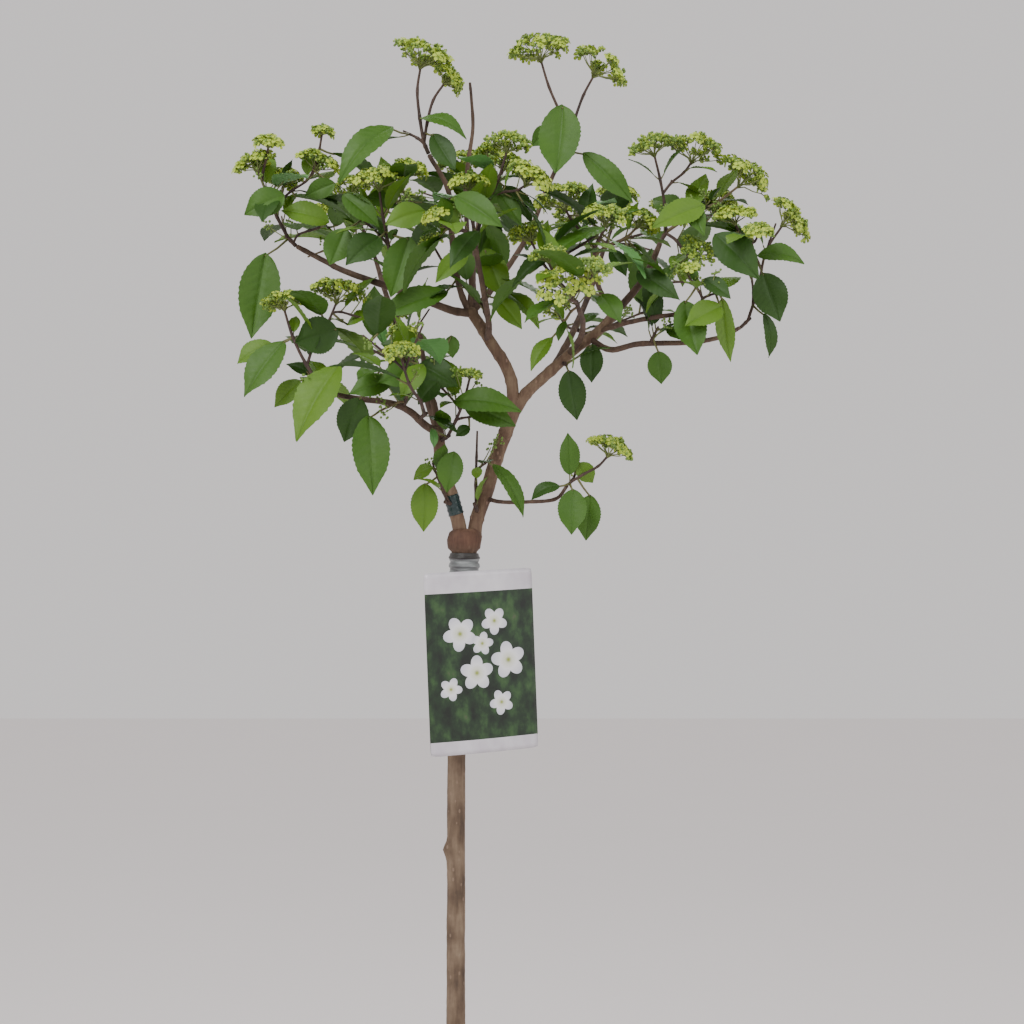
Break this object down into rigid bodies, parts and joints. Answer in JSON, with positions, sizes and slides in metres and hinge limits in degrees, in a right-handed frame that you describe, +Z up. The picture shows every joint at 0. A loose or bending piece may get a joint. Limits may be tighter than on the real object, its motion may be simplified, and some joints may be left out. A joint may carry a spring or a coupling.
{
  "type": "potted lacecap snowball shrub, half-standard",
  "caption": "A young lacecap shrub grown as a half-standard: a slender bare trunk, a forked crown of green leaves and lime flower buds, a hanging picture card, in a plain black pot.",
  "frame": {"origin": "middle of the flat underside of the pot", "axes": "+Z up along the trunk, -Y towards the viewer in the picture, +X to the viewer's right"},
  "size_m": [0.3902, 0.3249, 1.1356],
  "materials": {
    "pot_plastic": "matt black moulded plastic",
    "potting_soil": "dark crumbly potting mix",
    "trunk_bark": "grey-brown young bark with small pores",
    "bough_bark": "brown young bark",
    "foliage": "soft green leaves, lime buds and thin brown twigs",
    "tie_tape": "grey stretch tape",
    "printed_card": "coated printed card",
    "clear_strap": "clear thin plastic"
  },
  "bodies": {
    "root": {"pot": "pot_plastic", "soil": "potting_soil", "trunk": "trunk_bark", "left_stem": "bough_bark", "right_stem": "bough_bark", "centre_limb": "bough_bark", "right_limb": "bough_bark", "upper_left_limb": "bough_bark", "top_left_limb": "bough_bark", "top_twig": "bough_bark", "top_right_limb": "bough_bark", "right_top_limb": "bough_bark", "right_inner_limb": "bough_bark", "right_low_limb": "bough_bark", "right_mid_limb": "bough_bark", "low_right_twig": "bough_bark", "left_limb": "bough_bark", "left_up_limb": "bough_bark", "back_left_limb": "bough_bark", "back_limb": "bough_bark", "back_right_limb": "bough_bark", "front_limb": "bough_bark", "front_right_limb": "bough_bark", "west_top_foliage": "foliage", "west_inner_foliage": "foliage", "west_low_foliage": "foliage", "west_low_inner_foliage": "foliage", "low_west_foliage": "foliage", "centre_low_foliage": "foliage", "low_middle_foliage": "foliage", "low_east_foliage": "foliage", "top_west_foliage": "foliage", "top_east_foliage": "foliage", "front_top_foliage": "foliage", "centre_foliage": "foliage", "front_east_foliage": "foliage", "east_upper_foliage": "foliage", "east_top_foliage": "foliage", "far_east_foliage": "foliage", "east_foliage": "foliage", "east_hanging_foliage": "foliage", "east_low_foliage": "foliage", "back_west_foliage": "foliage", "back_foliage": "foliage", "back_east_foliage": "foliage", "back_low_west_foliage": "foliage", "back_low_east_foliage": "foliage", "front_west_foliage": "foliage", "trunk_tie": "tie_tape", "card": "printed_card", "card_strap": "clear_strap"}
  },
  "joints": []
}
